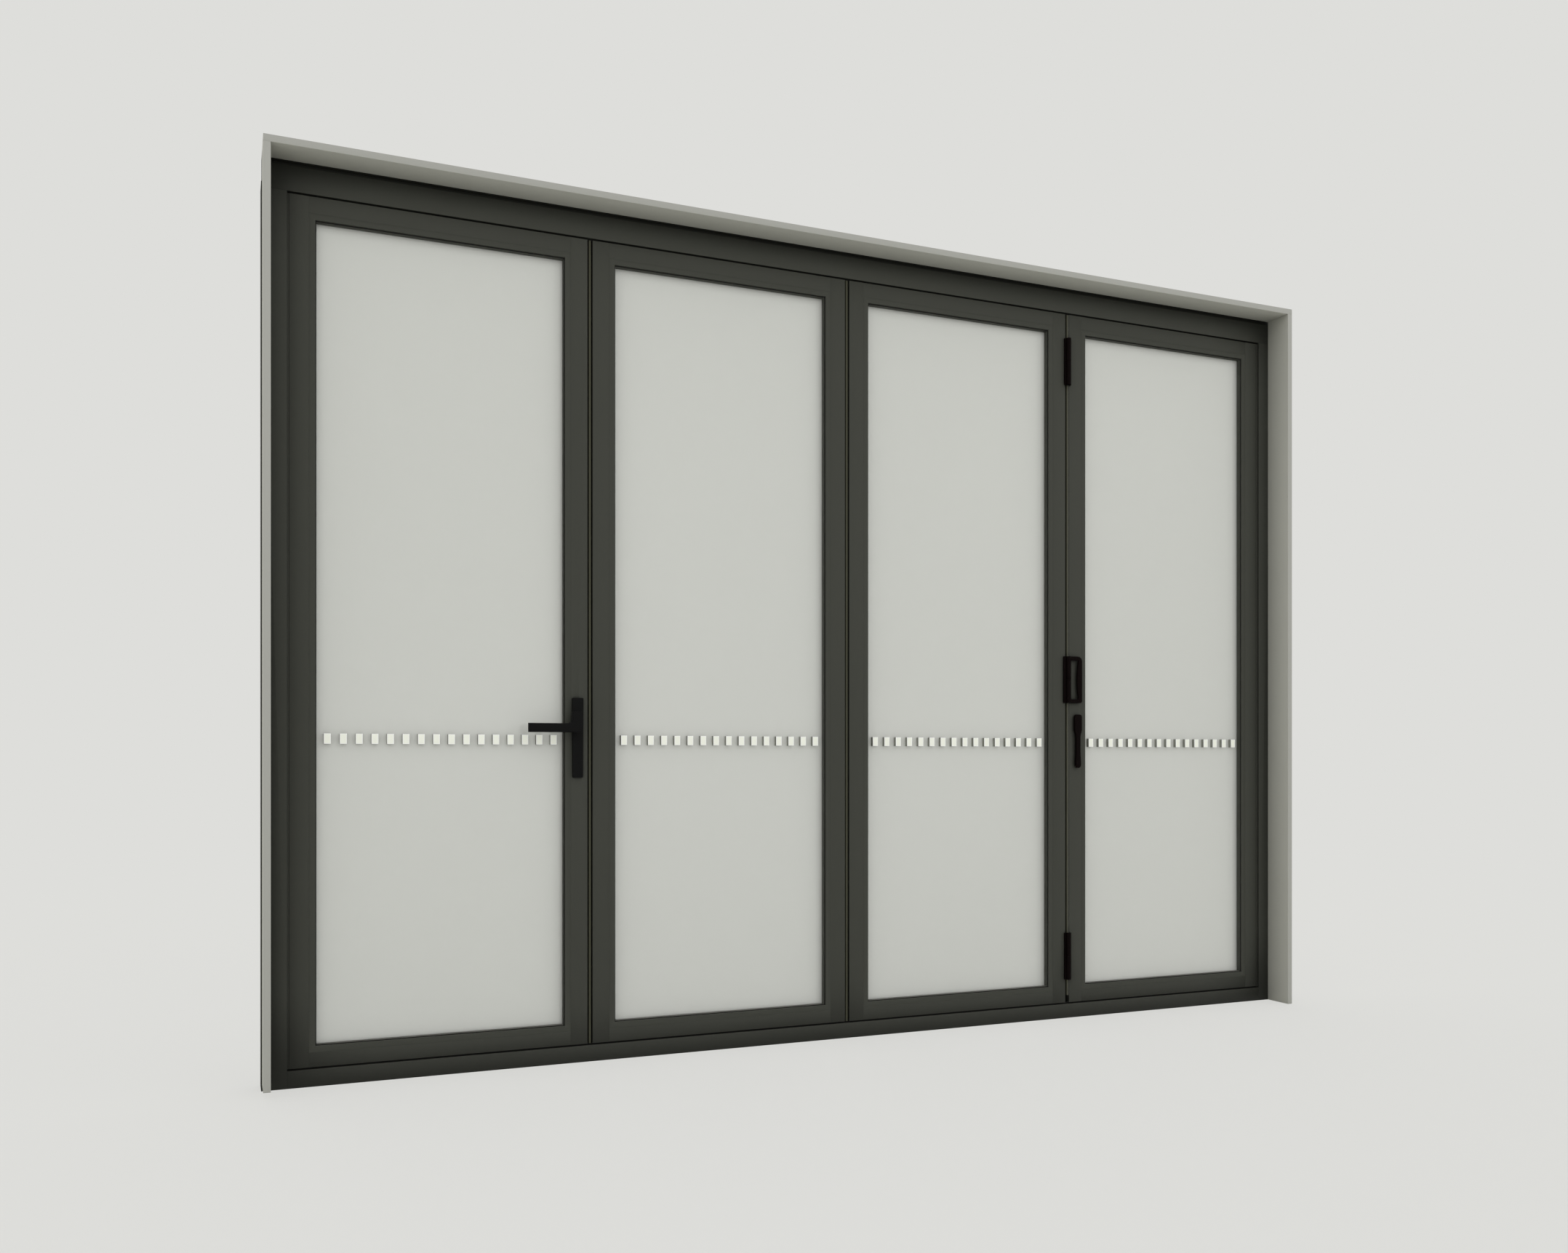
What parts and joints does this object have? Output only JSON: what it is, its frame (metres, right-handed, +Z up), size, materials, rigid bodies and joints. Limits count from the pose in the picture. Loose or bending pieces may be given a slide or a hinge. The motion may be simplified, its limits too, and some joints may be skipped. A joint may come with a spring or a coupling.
{
  "type": "bifold glass patio door",
  "caption": "Bifold patio door set: glazed aluminium leaves in an outer frame with a boarded reveal; the left leaf opens as a door.",
  "frame": {"origin": "middle of the sill's underside, halfway through the outer frame's depth", "axes": "+X right seen from the room, +Y outdoors, +Z up"},
  "size_m": [3.341, 0.213, 2.418],
  "materials": {
    "frame_coating": "satin powder coat",
    "lining_board": "matt paint",
    "glass": "clear, polished",
    "spacer": "dull",
    "marker": "matt",
    "seal": "dull",
    "lever_black": "matt black coat",
    "hinge_black": "matt brown-black coat",
    "bare_steel": "zinc plated"
  },
  "bodies": {
    "frame": {"bolt_handle_base": "hinge_black", "bottom_guide": "bare_steel", "door_hinge_frame_halves": "hinge_black", "fold_hinges": "hinge_black", "frame_head": "frame_coating", "frame_left_jamb": "frame_coating", "frame_right_jamb": "frame_coating", "frame_seals": "seal", "frame_sill": "frame_coating", "leaf_2_beads": "frame_coating", "leaf_2_glass": "glass", "leaf_2_rails": "frame_coating", "leaf_2_spacer": "spacer", "leaf_2_stiles": "frame_coating", "leaf_3_beads": "frame_coating", "leaf_3_glass": "glass", "leaf_3_rails": "frame_coating", "leaf_3_spacer": "spacer", "leaf_3_stiles": "frame_coating", "leaf_4_beads": "frame_coating", "leaf_4_glass": "glass", "leaf_4_rails": "frame_coating", "leaf_4_spacer": "spacer", "leaf_4_stiles": "frame_coating", "lining_head": "lining_board", "lining_left": "lining_board", "lining_right": "lining_board", "meeting_seals": "seal", "pull_hinge": "hinge_black", "stack_hinges": "hinge_black", "stack_markers": "marker", "top_carriage": "bare_steel"},
    "traffic_door": {"leaf_1_stiles": "frame_coating", "leaf_1_rails": "frame_coating", "leaf_1_beads": "frame_coating", "leaf_1_glass": "glass", "leaf_1_spacer": "spacer", "door_markers": "marker", "door_hinge_leaf_halves": "hinge_black", "lever_plates": "lever_black"},
    "lever": {"inside_lever": "lever_black", "outside_lever": "lever_black", "lever_spindle": "bare_steel"},
    "pull_handle": {"pull_handle": "hinge_black"},
    "bolt_handle": {"bolt_handle": "hinge_black"}
  },
  "joints": [
    {"name": "traffic_door_hinge", "type": "hinge", "parent": "frame", "child": "traffic_door", "pos_m": [-1.606, 0.044, 1.15], "axis": [0, 0, 1], "range_deg": [0, 110]},
    {"name": "lever_turn", "type": "hinge", "parent": "traffic_door", "child": "lever", "pos_m": [-0.84732, 0.001, 0.9395], "axis": [0, -1, 0], "range_deg": [0, 45], "stiffness_Nm_per_rad": 1.5, "springref_deg": -40.11},
    {"name": "pull_handle_swing", "type": "hinge", "parent": "frame", "child": "pull_handle", "pos_m": [0.80112, -0.042, 1.1135], "axis": [0, 0, -1], "range_deg": [0, 90]},
    {"name": "bolt_handle_turn", "type": "hinge", "parent": "frame", "child": "bolt_handle", "pos_m": [0.83713, -0.04, 0.966], "axis": [0, -1, 0], "range_deg": [0, 90]}
  ]
}
